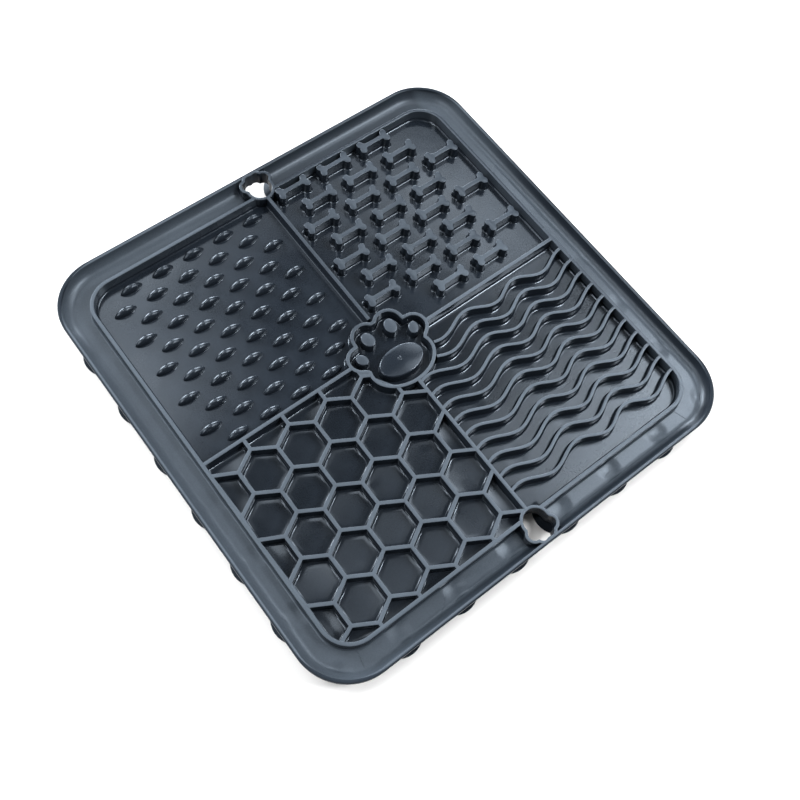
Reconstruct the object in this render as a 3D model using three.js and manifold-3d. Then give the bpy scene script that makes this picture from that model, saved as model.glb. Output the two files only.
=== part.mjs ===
// Lick mat: one silicone moulding, millimetres, +Z up.
// The origin is at the middle of the underside, level with the suction cups' rims.
// +Y is the side with the studs and bones, +X the side with the bones and waves.
import * as THREE from 'three';
import { mergeVertices } from 'three/addons/utils/BufferGeometryUtils.js';
import Module from 'manifold-3d';

const wasm = await Module();
wasm.setup();

// Sheet, lip and channel.
const LIP_HALF = 100;
const LIP_RADIUS = 22;
const LIP_THICK = 1.5;
const LIP_FACE = 2;
const CHANNEL_FLOOR_HALF = 94;
const TOP_Z = 11;
const FLOOR_Z = 5.8;
const SHEET_THICK = 1.6;
const UNDER_Z = FLOOR_Z - SHEET_THICK;
const COVE_STEPS = 3;
const CORNER_STEPS = 6;
const EMBED = 0.8;
const CUT_OVER = 1;
const MERGE = 1e-4;

// Inner wall and the cross that parts the field.
const WALL_HALF = 87.6;
const WALL_THICK = 1.5;
const WALL_RADIUS = 12.1;
const RIB_THICK = 1.5;

// Paw in the middle.
const PAW_WALL = 1.4;
const PAD_Z = 10.4;
const LOBE_STEPS = 14;
const PAW_LOBES = [
  { x: 5.5, y: 7.4, rx: 6.8, ry: 6.8 },
  { x: 13.1, y: 0.8, rx: 6.2, ry: 6.2 },
  { x: 0, y: -8.5, rx: 15, ry: 11 },
];
const PADS = [
  { x: 5.6, y: 6.5, rx: 3.0, ry: 3.7, turnDeg: -8 },
  { x: 12.9, y: 0.6, rx: 2.5, ry: 3.1, turnDeg: -28 },
  { x: 0, y: -8.2, rx: 10, ry: 6.3, turnDeg: 0 },
];
const PAD_STEPS = 10;
const PAW_MIDDLE = [[-13, 0.8], [-10, -6], [10, -6], [13, 0.8], [5.5, 8], [-5.5, 8]];

// Rice-grain studs, in staggered rows.
const STUD_ROWS = 11;
const STUD_PITCH_Y = 7.7;
const STUD_FIRST_Y = 4.8;
const STUD_PITCH_X = 14.65;
const STUD_NEAR_X = -10.3;
const STUDS_IN_ROW = 5;
const STUD_HALF_LENGTH = 4.9;
const STUD_HALF_WIDTH = 2.5;
const STUD_HEIGHT = 4.2;
const STUD_CREST_HALF = 2.2;

// Bones, in staggered rows from the top down.
const BONE_TOP_Y = 83.4;
const BONE_PITCH_X = 21.5;
const BONE_PITCH_Y = 10.55;
const BONE_NEAR_X = 11.9;
const BONE_STAGGER = 6.3;
const BONE_ROWS = [
  { first: 0, count: 3 }, { first: 0, count: 3 }, { first: 0, count: 4 }, { first: 0, count: 3 },
  { first: 0, count: 4 }, { first: 0, count: 3 }, { first: 0, count: 4 }, { first: 1, count: 2 },
];
const BONE_QUARTER = [
  { x: 6.7, y: 0 }, { x: 8.1, y: 1.7 }, { x: 6.7, y: 3.1 }, { x: 4.6, y: 2.2 }, { x: 2.4, y: 1.05 },
];

// Waves: each half wave runs between two of these places along X.
const WAVE_TURNS_X = [-10.6, 4.2, 19, 34.3, 47.5, 60.2, 72.9, 86.6];
const WAVE_HALF_SWING = 2.2;
const WAVE_STOPS = [0, 0.25, 0.75];
const WAVE_RIBS = 11;
const WAVE_PITCH = 6.95;
const WAVE_FIRST_Y = -8.1;
const WAVE_THICK = 1.3;

// Honeycomb: cells with two sides along Y.
const CELL_PITCH = 17.42;
const CELL_ROWS = 7;
const CELLS_IN_ROW = 6;
const CELL_SIDES = 6;
const CELL_TURN_DEG = 30;

// Hang holes, at the middles of the +Y and -Y sides.
const HOLE_WALL = 1.3;
const HOLE_LOBES = [
  { x: 0, y: 90.6, r: 4.9 },
  { x: 3.9, y: 94.2, r: 2.3 },
  { x: -3.9, y: 94.2, r: 2.3 },
];
const HOLE_NECK = { y0: 94.2, y1: 98.1, half0: 5.6, half1: 3.2 };
const HOLE_STEPS = 14;

// Suction cups: a square grid without its four corners.
const CUP_PITCH = 26;
const CUPS_A_SIDE = 8;
const CUP_RADIUS = 9.6;
const CUP_RIM = 1.2;
const CUP_NECK_RADIUS = 4.4;
const CUP_HOLLOW_Z = 2.4;
const CUP_STEPS = 8;

const TURN = 2 * Math.PI;
const radians = (degrees) => (degrees * Math.PI) / 180;

function toSolid(geometry) {
  geometry.deleteAttribute('normal');
  geometry.deleteAttribute('uv');
  const merged = mergeVertices(geometry, MERGE);
  return new wasm.Manifold(new wasm.Mesh({
    numProp: 3,
    vertProperties: new Float32Array(merged.attributes.position.array),
    triVerts: new Uint32Array(merged.index.array),
  }));
}

function toGeometry(solid) {
  const mesh = solid.getMesh();
  const geometry = new THREE.BufferGeometry();
  geometry.setAttribute('position', new THREE.BufferAttribute(new Float32Array(mesh.vertProperties), 3));
  geometry.setIndex(new THREE.BufferAttribute(new Uint32Array(mesh.triVerts), 1));
  geometry.computeVertexNormals();
  return geometry;
}

const join = (solids) => solids.reduce((sum, solid) => sum.add(solid));

function prism(points, z0, z1) {
  const settings = { depth: z1 - z0, bevelEnabled: false };
  const geometry = new THREE.ExtrudeGeometry(new THREE.Shape(points), settings);
  geometry.translate(0, 0, z0);
  return toSolid(geometry);
}

function ellipse(x, y, rx, ry, steps, turnDeg = 0) {
  const centre = new THREE.Vector2();
  return Array.from({ length: steps }, (_, i) => {
    const a = (TURN * i) / steps;
    const point = new THREE.Vector2(rx * Math.cos(a), ry * Math.sin(a));
    return point.rotateAround(centre, radians(turnDeg)).add(new THREE.Vector2(x, y));
  });
}

function rectangle(x0, y0, x1, y1) {
  return [[x0, y0], [x1, y0], [x1, y1], [x0, y1]].map(([x, y]) => new THREE.Vector2(x, y));
}

function roundedSquare(half, radius) {
  const points = [];
  const middle = half - radius;
  for (const [sx, sy, start] of [[1, 1, 0], [-1, 1, 90], [-1, -1, 180], [1, -1, 270]]) {
    for (let i = 0; i <= CORNER_STEPS; i++) {
      const a = radians(start + (90 * i) / CORNER_STEPS);
      points.push(new THREE.Vector2(sx * middle + radius * Math.cos(a), sy * middle + radius * Math.sin(a)));
    }
  }
  return points;
}

// A solid through a stack of rounded squares, each {half, z}, from the bottom up.
// All corners share one centre, so the radius shrinks with the half width.
function stack(sections) {
  const centre = LIP_HALF - LIP_RADIUS;
  const rings = sections.map(({ half }) => roundedSquare(half, half - centre));
  const count = rings[0].length;
  const positions = rings.flatMap((ring, k) => ring.flatMap((point) => [point.x, point.y, sections[k].z]));
  const index = [];
  for (let k = 0; k + 1 < rings.length; k++) {
    for (let i = 0; i < count; i++) {
      const a = k * count + i;
      const b = k * count + ((i + 1) % count);
      index.push(a, b, b + count, a, b + count, a + count);
    }
  }
  const last = (rings.length - 1) * count;
  for (const [a, b, c] of THREE.ShapeUtils.triangulateShape(rings[0], [])) {
    index.push(c, b, a, last + a, last + b, last + c);
  }
  const geometry = new THREE.BufferGeometry();
  geometry.setAttribute('position', new THREE.Float32BufferAttribute(positions, 3));
  geometry.setIndex(index);
  return toSolid(geometry);
}

// The tray: a sheet that turns up through a cove into the lip.
function tray() {
  const outer = [];
  const inner = [];
  const rise = TOP_Z - FLOOR_Z;
  const reach = LIP_HALF - LIP_THICK - CHANNEL_FLOOR_HALF;
  for (let i = 0; i <= COVE_STEPS; i++) {
    const a = radians((90 * i) / COVE_STEPS);
    inner.push({ half: CHANNEL_FLOOR_HALF + reach * Math.sin(a), z: TOP_Z - rise * Math.cos(a) });
    const spread = SHEET_THICK * Math.cos(a);
    const push = LIP_THICK * Math.sin(a);
    outer.push({ half: inner[i].half + push, z: Math.min(inner[i].z - spread, TOP_Z - LIP_FACE) });
  }
  inner.push({ half: LIP_HALF - LIP_THICK, z: TOP_Z + CUT_OVER });
  outer.push({ half: LIP_HALF, z: TOP_Z });
  return stack(outer).subtract(stack(inner));
}

function innerWall() {
  const outline = roundedSquare(WALL_HALF + WALL_THICK / 2, WALL_RADIUS + WALL_THICK / 2);
  const out = prism(outline, FLOOR_Z - EMBED, TOP_Z);
  const cut = prism(fieldOutline(), FLOOR_Z - CUT_OVER, TOP_Z + CUT_OVER);
  return out.subtract(cut);
}

function fieldOutline() {
  return roundedSquare(WALL_HALF - WALL_THICK / 2, WALL_RADIUS - WALL_THICK / 2);
}

function mirrored(rows) {
  const flip = (row) => ({ ...row, x: -row.x, turnDeg: -(row.turnDeg ?? 0) });
  return rows.flatMap((row) => (row.x === 0 ? [row] : [row, flip(row)]));
}

// The paw's outline, inset by a wall or not. The middle piece joins the lobes inside the outline.
function pawRegion(inset, z0, z1) {
  const outline = (lobe) => ellipse(lobe.x, lobe.y, lobe.rx - inset, lobe.ry - inset, LOBE_STEPS);
  const middle = PAW_MIDDLE.map(([x, y]) => new THREE.Vector2(x, y));
  return join([middle, ...mirrored(PAW_LOBES).map(outline)].map((points) => prism(points, z0, z1)));
}

function pads() {
  return join(mirrored(PADS).map((pad) => prism(
    ellipse(pad.x, pad.y, pad.rx, pad.ry, PAD_STEPS, pad.turnDeg), FLOOR_Z - EMBED, PAD_Z,
  )));
}

// A grain: a pointed oval foot under a short crest.
function stud(x, y) {
  const foot = [
    [-STUD_HALF_LENGTH, 0],
    [-STUD_HALF_LENGTH / 2, -STUD_HALF_WIDTH],
    [STUD_HALF_LENGTH / 2, -STUD_HALF_WIDTH],
    [STUD_HALF_LENGTH, 0],
    [STUD_HALF_LENGTH / 2, STUD_HALF_WIDTH],
    [-STUD_HALF_LENGTH / 2, STUD_HALF_WIDTH],
  ];
  const low = FLOOR_Z - EMBED;
  const positions = foot.flatMap(([dx, dy]) => [x + dx, y + dy, low]);
  const crestZ = FLOOR_Z + STUD_HEIGHT;
  positions.push(x - STUD_CREST_HALF, y, crestZ, x + STUD_CREST_HALF, y, crestZ);
  const index = [
    0, 1, 6, 1, 2, 7, 1, 7, 6, 2, 3, 7, 3, 4, 7, 4, 5, 6, 4, 6, 7, 5, 0, 6,
    0, 5, 1, 1, 5, 4, 1, 4, 2, 2, 4, 3,
  ];
  const geometry = new THREE.BufferGeometry();
  geometry.setAttribute('position', new THREE.Float32BufferAttribute(positions, 3));
  geometry.setIndex(index);
  return toSolid(geometry);
}

function studs() {
  const solids = [];
  for (let row = 0; row < STUD_ROWS; row++) {
    const shift = row % 2 === 0 ? 0 : STUD_PITCH_X / 2;
    for (let k = row === 0 ? 1 : 0; k < STUDS_IN_ROW; k++) {
      const x = STUD_NEAR_X - shift - k * STUD_PITCH_X;
      solids.push(stud(x, STUD_FIRST_Y + row * STUD_PITCH_Y));
    }
  }
  return join(solids);
}

// A bone's outline: two knobs with a notched end each, and a waisted shaft.
function boneOutline(x, y) {
  const quarter = BONE_QUARTER.map((point) => [point.x, point.y]);
  const upper = [...quarter, ...quarter.map(([dx, dy]) => [-dx, dy]).reverse()];
  const lower = upper.slice(1, -1).map(([dx, dy]) => [dx, -dy]).reverse();
  return [...upper, ...lower].map(([dx, dy]) => new THREE.Vector2(x + dx, y + dy));
}

function bones() {
  const solids = BONE_ROWS.flatMap(({ first, count }, row) => Array.from({ length: count }, (_, i) => {
    const x = BONE_NEAR_X + (first + i) * BONE_PITCH_X + (row % 2) * BONE_STAGGER;
    return prism(boneOutline(x, BONE_TOP_Y - row * BONE_PITCH_Y), FLOOR_Z - EMBED, TOP_Z);
  }));
  return join(solids).intersect(prism(fieldOutline(), 0, TOP_Z + CUT_OVER));
}

function waves() {
  const line = [];
  for (let turn = 0; turn + 1 < WAVE_TURNS_X.length; turn++) {
    const [x0, x1] = [WAVE_TURNS_X[turn], WAVE_TURNS_X[turn + 1]];
    const sign = turn % 2 === 0 ? -1 : 1;
    for (const t of WAVE_STOPS) {
      line.push([x0 + t * (x1 - x0), sign * WAVE_HALF_SWING * Math.cos(Math.PI * t)]);
    }
  }
  line.push([WALL_HALF, WAVE_HALF_SWING]);
  const seen = line.filter(([x]) => x > 0);
  const top = seen.map(([x, y]) => new THREE.Vector2(x, y + WAVE_THICK / 2));
  const under = seen.map(([x, y]) => new THREE.Vector2(x, y - WAVE_THICK / 2)).reverse();
  const ribs = Array.from({ length: WAVE_RIBS }, (_, i) => (
    prism([...top, ...under], FLOOR_Z - EMBED, TOP_Z).translate([0, WAVE_FIRST_Y - i * WAVE_PITCH, 0])
  ));
  const quarter = prism(rectangle(0, -WALL_HALF, WALL_HALF, 0), 0, TOP_Z + CUT_OVER);
  return join(ribs).intersect(quarter);
}

function honeycomb() {
  const side = CELL_PITCH / Math.sqrt(3);
  const half = (CELL_PITCH - RIB_THICK) / Math.sqrt(3);
  const cells = [];
  for (let row = 0; row < CELL_ROWS; row++) {
    for (let k = 0; k < CELLS_IN_ROW; k++) {
      const x = -(k + (row % 2 === 0 ? 0.5 : 0)) * CELL_PITCH;
      const corners = ellipse(x, -row * 1.5 * side, half, half, CELL_SIDES, CELL_TURN_DEG);
      cells.push(prism(corners, FLOOR_Z - CUT_OVER, TOP_Z + CUT_OVER));
    }
  }
  const block = prism(rectangle(-WALL_HALF, -WALL_HALF, 0, 0), FLOOR_Z - EMBED, TOP_Z);
  return block.subtract(join(cells)).intersect(prism(fieldOutline(), 0, TOP_Z + CUT_OVER));
}

function cross() {
  const half = RIB_THICK / 2;
  const upright = prism(rectangle(-half, -WALL_HALF, half, WALL_HALF), FLOOR_Z - EMBED, TOP_Z);
  return upright.add(prism(rectangle(-WALL_HALF, -half, WALL_HALF, half), FLOOR_Z - EMBED, TOP_Z));
}

function holeRegion(grow, side, z0, z1) {
  const parts = HOLE_LOBES.map((lobe) => ellipse(lobe.x, lobe.y, lobe.r + grow, lobe.r + grow, HOLE_STEPS));
  const { y0, y1, half0, half1 } = HOLE_NECK;
  parts.push([[-half0 - grow, y0], [half0 + grow, y0], [half1 + grow, y1], [-half1 - grow, y1]]
    .map(([x, y]) => new THREE.Vector2(x, y)));
  const region = join(parts.map((points) => prism(points, z0, z1)));
  return side > 0 ? region : region.mirror([0, 1, 0]);
}

// A suction cup: a flared skirt on a short neck, hollow below, with a narrow flat rim.
function cup() {
  const profile = [
    [0, UNDER_Z + EMBED], [CUP_NECK_RADIUS, UNDER_Z + EMBED], [CUP_RADIUS, 0], [CUP_RADIUS - CUP_RIM, 0],
    [0, CUP_HOLLOW_Z],
  ].reverse().map(([r, z]) => new THREE.Vector2(r, z));
  return toSolid(new THREE.LatheGeometry(profile, CUP_STEPS).rotateX(Math.PI / 2));
}

function cups() {
  const one = cup();
  const last = CUPS_A_SIDE - 1;
  const solids = [];
  for (let i = 0; i <= last; i++) {
    for (let j = 0; j <= last; j++) {
      const corner = (i === 0 || i === last) && (j === 0 || j === last);
      const at = (k) => (k - last / 2) * CUP_PITCH;
      if (!corner) solids.push(one.translate([at(i), at(j), 0]));
    }
  }
  return join(solids);
}

function lickMat() {
  const low = FLOOR_Z - EMBED;
  let relief = join([cross(), waves(), honeycomb(), studs(), bones()]);
  relief = relief.subtract(pawRegion(PAW_WALL, 0, TOP_Z + CUT_OVER));
  const pawWall = pawRegion(0, low, TOP_Z).subtract(pawRegion(PAW_WALL, 0, TOP_Z + CUT_OVER));
  let solid = join([tray(), innerWall(), relief, pawWall, pads(), cups()]);
  for (const side of [1, -1]) {
    solid = solid.add(holeRegion(HOLE_WALL, side, UNDER_Z, TOP_Z));
    solid = solid.subtract(holeRegion(0, side, -CUT_OVER, TOP_Z + CUT_OVER));
  }
  return toGeometry(solid);
}

const silicone = new THREE.MeshStandardMaterial({ color: 0x4a5560, roughness: 0.5, metalness: 0 });
const mat = new THREE.Mesh(lickMat(), silicone);
mat.name = 'lick_mat';

const group = new THREE.Group();
group.add(mat);

export default group;
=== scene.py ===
"""A square silicone lick mat: studs, bones, waves and honeycomb round a paw."""
import math

import bmesh
import bpy
from mathutils import Euler, Matrix, Vector


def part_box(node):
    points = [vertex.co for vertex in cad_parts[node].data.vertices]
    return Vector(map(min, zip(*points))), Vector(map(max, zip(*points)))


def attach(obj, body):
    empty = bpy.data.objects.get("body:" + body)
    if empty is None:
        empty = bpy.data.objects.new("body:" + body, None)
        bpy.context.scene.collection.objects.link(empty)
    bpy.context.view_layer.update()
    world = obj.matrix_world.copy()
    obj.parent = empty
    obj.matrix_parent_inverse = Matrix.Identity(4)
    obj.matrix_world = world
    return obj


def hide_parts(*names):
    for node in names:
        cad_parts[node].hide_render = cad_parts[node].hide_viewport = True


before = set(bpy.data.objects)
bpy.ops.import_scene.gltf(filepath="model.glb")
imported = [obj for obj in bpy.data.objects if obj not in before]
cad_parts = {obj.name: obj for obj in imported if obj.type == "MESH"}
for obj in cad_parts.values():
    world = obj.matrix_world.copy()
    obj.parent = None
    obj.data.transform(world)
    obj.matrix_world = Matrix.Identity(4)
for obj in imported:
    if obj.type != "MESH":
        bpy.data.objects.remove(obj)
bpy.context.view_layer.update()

bl_info = {
    "name": "Lick Mat",
    "version": (1, 0, 0),
    "blender": (4, 5, 0),
    "location": "View3D > Sidebar > Lick Mat",
    "description": "Builds a moulded silicone lick mat and the table it lies on",
    "category": "Object",
}

NODE = "lick_mat"
BODY = "root"
MM = 0.001
CREASE = math.radians(40)

# Tiny steps in height that keep faces from lying in one plane, and the distance at which points merge.
HAIR = 0.02 * MM
SINK = 0.05 * MM
MERGE = 0.002 * MM

# The CAD mat's box in millimetres: ribs and lip reach its top, and the outermost cups its sides.
BOX_HALF, _, BOX_TOP = [round(length / MM, 3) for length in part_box(NODE)[1]]

# Suction cups, in a square grid without its corners.
CUPS_A_SIDE = 8
CUP_PITCH = 26.0
CUP_RADIUS = round(BOX_HALF - CUP_PITCH * (CUPS_A_SIDE - 1) / 2, 3)


def mm_prop(name, size_mm, description):
    """A length in the sidebar, given in millimetres."""
    return bpy.props.FloatProperty(
        name=name, description=description, default=size_mm * MM, min=0.0, precision=5, unit="LENGTH")


def colour_prop(name, hex_colour, description):
    """A colour in the sidebar, given as an sRGB hex value."""
    return bpy.props.FloatVectorProperty(
        name=name, description=description, size=3, min=0.0, max=1.0,
        default=linear(hex_colour)[:3], subtype="COLOR")


def factor_prop(name, value, description):
    """A number from 0 to 1 in the sidebar."""
    return bpy.props.FloatProperty(
        name=name, description=description, default=value, min=0.0, max=1.0, subtype="FACTOR")


def linear(hex_colour):
    """Turns an sRGB hex value to linear red, green, blue and alpha."""
    parts = [int(hex_colour[i:i + 2], 16) / 255 for i in (1, 3, 5)]
    return [c / 12.92 if c <= 0.04045 else ((c + 0.055) / 1.055) ** 2.4 for c in parts] + [1.0]


class MatSizes(bpy.types.PropertyGroup):
    """Sizes of the mat and its relief."""
    lip_half: mm_prop("Lip half width", 100.0, "From the middle to the outside of the lip")
    lip_radius: mm_prop("Corner radius", 22.0, "Radius of the lip's corners")
    lip_thick: mm_prop("Lip thickness", 1.5, "Thickness of the lip's top")
    floor_half: mm_prop("Channel floor", 94.0, "From the middle to where the channel starts to rise")
    floor_z: mm_prop("Floor height", 5.8, "Height of the floor between the ribs")
    top_z: mm_prop("Top height", BOX_TOP, "Height of walls, ribs and lip")
    sheet: mm_prop("Sheet thickness", 1.6, "Thickness of the base sheet")
    wall_half: mm_prop("Wall half width", 87.6, "From the middle to the centre of the inner wall")
    wall_radius: mm_prop("Wall radius", 12.1, "Radius of the inner wall's corners")
    wall_thick: mm_prop("Wall thickness", 1.5, "Thickness of walls at the top")
    wave_thick: mm_prop("Wave thickness", 1.25, "Thickness of the wave ribs at the top")
    cell_pitch: mm_prop("Cell pitch", 17.42, "Honeycomb cells from wall to wall")
    stud_height: mm_prop("Stud height", 3.2, "Height of the rice-grain studs")
    cup_pitch: mm_prop("Cup pitch", CUP_PITCH, "Distance between suction cups")
    cup_radius: mm_prop("Cup radius", CUP_RADIUS, "Radius of a suction cup's rim")


class MatLook(bpy.types.PropertyGroup):
    """Colours and gloss of the mat and the table."""
    silicone: colour_prop("Silicone", "#1B1E22", "Colour of the moulded silicone")
    # The paler colour is partly wear on the rib tops and partly painted light, on the tops, in the channel
    # and on the inner wall's inside face.
    worn_and_painted_light_colour: colour_prop("Rubbed silicone", "#404346", "Colour of the scuffed silicone on the tops of ribs")
    table: colour_prop("Table", "#F9E9DA", "Colour of the table")
    gloss: factor_prop("Roughness", 0.16, "Roughness of the silicone")
    rubbed_gloss: factor_prop("Rubbed roughness", 0.38, "Roughness of the scuffed silicone")
    # Painted light: how far the channel is painted paler than the bare silicone.
    channel_painted_light: factor_prop("Channel bloom", 1.0, "How far the channel has paled beside the rib tops")
    sink: factor_prop("Sink marks", 0.5, "Depth of the sink marks over the cups, in millimetres")


# Ribs: the fillet at the foot, the lean of the side and the rounding of the top.
FILLET = 0.85 * MM
DRAFT = 0.15 * MM
ROUND = 0.2 * MM
# Straight steps that a fillet or a rounding is made of.
ARC_STEPS = 4
# How deep the floors of whole honeycomb cells sag, and the rounding of the lip's top.
CELL_DISH = 0.14 * MM
LIP_ROUND = 0.35 * MM

# Lengths from here on are in millimetres, and angles in degrees.
# Waves: places along X where the ribs turn, from crest to trough.
WAVE_TURNS = (-10.6, 4.2, 19.0, 34.3, 47.5, 60.2, 72.9, 86.9)
WAVE_SWING = 2.2
WAVE_RIBS = 11
WAVE_PITCH = 6.95
WAVE_FIRST_Y = -8.1
WAVE_STEPS = 20

# Studs, in staggered rows.
STUD_ROWS = 11
STUDS_IN_ROW = 5
STUD_PITCH_X = 14.65
STUD_PITCH_Y = 7.7
STUD_NEAR_X = -10.3
STUD_FIRST_Y = 4.8
STUD_HALF_LENGTH = 4.9
STUD_HALF_WIDTH = 1.8
# Powers below 1 broaden the crest and keep the ends blunt.
STUD_CREST = 0.8
STUD_END = 0.15
# The fillet at a stud's foot, in steps of (outwards, downwards).
STUD_FOOT = ((0.03, 0.12), (0.08, 0.1), (0.12, 0.07), (0.17, 0.03), (0.0, 0.06))

# Bones, in rows from the top down: (first place, how many).
BONE_ROWS = ((0, 3), (0, 3), (0, 4), (0, 3), (0, 4), (0, 3), (0, 4), (1, 2))
BONE_PITCH_X = 21.5
BONE_PITCH_Y = 10.55
BONE_NEAR_X = 11.9
BONE_TOP_Y = 83.4
BONE_STAGGER = 6.3

# Paw: (x, y, half width, half depth) of the outline's lobes, and of the pads with their turn.
# Both are mirrored in X, and the outline is drawn round its lobes as seen from the eye.
PAW_LOBES = ((5.5, 7.4, 6.8, 6.8), (13.1, 0.8, 6.2, 6.2), (0.0, -8.5, 15.0, 11.0))
PADS = ((5.6, 6.5, 3.0, 3.7, -8.0), (12.9, 0.6, 2.5, 3.1, -28.0), (0.0, -8.2, 10.0, 6.3, 0.0))
PAW_EYE = (0.0, -2.0)
# Pads end this far below the ribs' tops, and are a little wider at the foot.
PAD_DROP = 0.5
PAD_SPREAD = 1.06
PAD_FILLET = 0.3
PAD_ROUND = 0.55

# Cross: its arms run from the paw to the inner wall; those along Y stop short, at the hang holes.
CROSS_TOP_Y = 13.6
CROSS_BOTTOM_Y = -19.2
CROSS_SIDE_X = 18.8
CROSS_END_Y = 85.4

# Honeycomb: rows and cells that cover its quarter before it is trimmed.
CELL_ROWS = 7
CELLS_IN_ROW = 6
# Half widths: up to the first a trimmed cell stays solid, up to the second its fillets are smaller,
# and beyond the third it counts as whole.
CELL_SLIVER = 0.9
CELL_SMALL = 3.0
CELL_WHOLE = 6.0
# Trimmed corners closer than this merge, outside this distance from the middle.
TRIM_MERGE = 1.3
TRIM_FROM = 30.0
# The sag of a whole cell's floor, in steps of (inwards, share of the depth).
CELL_SAG = ((1.5, 0.45), (1.8, 0.35), (1.8, 0.2))
# The cells near the paw end this far inside its outline, in the middle of its wall.
PAW_TRIM = -0.7

# Hang hole: (x, y, radius) of the lobes that its outline is drawn round, mirrored in X.
HOLE_LOBES = ((0.0, 90.6, 4.9), (3.9, 94.2, 2.3), (1.5, 96.3, 2.0))
HOLE_EYE = (0.0, 93.0)
HOLE_WALL = 1.3
# Other pieces are cut this far outside the hole, in the middle of its wall.
HOLE_CUT = 0.6
# The paw's and the hang holes' walls are this much slimmer at the top.
SLIM = 0.1

# Marks of the mould: joint lines across the channel, and the gate mark on the big pad.
JOINT_LINES = (((77.3, -88.4), (79.3, -94.6)), ((-81.2, -88.4), (-82.6, -94.6)))
JOINT_WIDTH = 0.3
JOINT_BEVEL = 0.04
GATE_MARK = (-0.2, -7.4)
GATE_DROP = 0.55
# A cut gate leaves a low ring with a nib in it: (radius, height).
GATE_PROFILE = ((0.0, 0.16), (0.18, 0.14), (0.3, 0.02), (0.5, 0.01), (0.62, 0.08), (0.75, 0.1),
                (0.88, 0.06), (0.95, -0.02))


# Outlines, in millimetres.

def circle_reach(eye, angle, x, y, rx, ry):
    """How far a ray from eye goes until it leaves an ellipse, or 0 if it misses."""
    dx, dy = math.cos(angle) / rx, math.sin(angle) / ry
    px, py = (eye[0] - x) / rx, (eye[1] - y) / ry
    a = dx * dx + dy * dy
    b = px * dx + py * dy
    root = b * b - a * (px * px + py * py - 1)
    return max(0.0, (-b + math.sqrt(root)) / a) if root > 0 else 0.0


def blob_reach(eye, lobes, grow, angle):
    """How far a ray from eye goes until it leaves all lobes and their mirror images."""
    return max(circle_reach(eye, angle, side * x, y, rx + grow, ry + grow)
               for x, y, rx, ry in lobes for side in (1, -1))


def blob(eye, lobes, grow, count):
    """The closed outline round a group of lobes, grown outwards."""
    points = []
    for i in range(count):
        angle = 2 * math.pi * (i + 0.5) / count
        far = blob_reach(eye, lobes, grow, angle)
        points.append((eye[0] + far * math.cos(angle), eye[1] + far * math.sin(angle)))
    return points


def paw_outline(grow, count=180):
    """The paw's outline, grown outwards."""
    return blob(PAW_EYE, PAW_LOBES, grow, count)


def inside_paw(point, grow):
    """Whether a place lies inside the paw's grown outline."""
    dx, dy = point[0] - PAW_EYE[0], point[1] - PAW_EYE[1]
    return math.hypot(dx, dy) < blob_reach(PAW_EYE, PAW_LOBES, grow, math.atan2(dy, dx))


def hole_outline(grow, count=96):
    """The hang hole's outline, grown outwards."""
    return blob(HOLE_EYE, [(x, y, r, r) for x, y, r in HOLE_LOBES], grow, count)


def ellipse(x, y, rx, ry, turn=0.0, count=48):
    """An ellipse, turned by degrees."""
    spin = Matrix.Rotation(math.radians(turn), 2)
    points = []
    for i in range(count):
        angle = 2 * math.pi * i / count
        at = spin @ Vector((rx * math.cos(angle), ry * math.sin(angle)))
        points.append((x + at.x, y + at.y))
    return points


def arc(x, y, radius, start, end, steps):
    """Points along an arc from start to end, in degrees."""
    turns = [math.radians(start + (end - start) * i / steps) for i in range(steps + 1)]
    return [(x + radius * math.cos(turn), y + radius * math.sin(turn)) for turn in turns]


def bone_outline(grow):
    """One bone round the origin: a straight shaft between two pairs of knobs."""
    shaft, knob, knob_x, knob_y, neck, notch = 1.0, 1.5, 6.3, 1.65, 1.3, 1.3
    neck_y = shaft + neck
    neck_x = knob_x - math.sqrt((knob + neck) ** 2 - (knob_y - neck_y) ** 2)
    notch_x = knob_x + math.sqrt((knob + notch) ** 2 - knob_y ** 2)
    rise = math.degrees(math.atan2(knob_y - neck_y, knob_x - neck_x))
    fall = math.degrees(math.atan2(knob_y, knob_x - notch_x))
    quarter = [(0.0, shaft + grow)]
    quarter += arc(neck_x, neck_y, neck - grow, -90, rise, 5)[:-1]
    quarter += arc(knob_x, knob_y, knob + grow, 180 + rise, fall - 180, 13)[:-1]
    quarter += arc(notch_x, 0.0, notch - grow, fall, 172, 3)
    upper = quarter[::-1] + [(-x, y) for x, y in quarter[1:]]
    return upper + [(x, -y) for x, y in upper[::-1]]


# Mesh helpers.

def verts_in(geom):
    """The vertices among what an operator made."""
    return [g for g in geom if isinstance(g, bmesh.types.BMVert)]


def edges_in(geom):
    """The edges among what an operator made."""
    return [g for g in geom if isinstance(g, bmesh.types.BMEdge)]


def piece_from(bm, name, material, sharp=CREASE):
    """Turns a bmesh into a finished, closed piece that stands for the CAD mat."""
    bmesh.ops.remove_doubles(bm, verts=bm.verts, dist=MERGE)
    bmesh.ops.holes_fill(bm, edges=[e for e in bm.edges if e.is_boundary], sides=0)
    bmesh.ops.recalc_face_normals(bm, faces=bm.faces)
    mesh = bpy.data.meshes.new(name)
    bm.to_mesh(mesh)
    bm.free()
    mesh.shade_smooth()
    mesh.set_sharp_from_angle(angle=sharp)
    mesh.materials.append(material)
    piece = bpy.data.objects.new(name, mesh)
    bpy.context.scene.collection.objects.link(piece)
    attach(piece, BODY)
    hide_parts(NODE)
    return piece


def flat_face(bm, points_mm, z):
    """A face through points in millimetres, at a height in metres, looking up."""
    verts = [bm.verts.new((x * MM, y * MM, z)) for x, y in points_mm]
    face = bm.faces.new(verts)
    face.normal_update()
    if face.normal.z < 0:
        face.normal_flip()
    return face


def terrace(bm, faces, steps):
    """Insets faces step by step, each (inwards, upwards) in metres."""
    for inwards, upwards in steps:
        bmesh.ops.inset_region(
            bm, faces=faces, thickness=inwards, depth=upwards, use_boundary=True, use_even_offset=True)
    return faces


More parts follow.
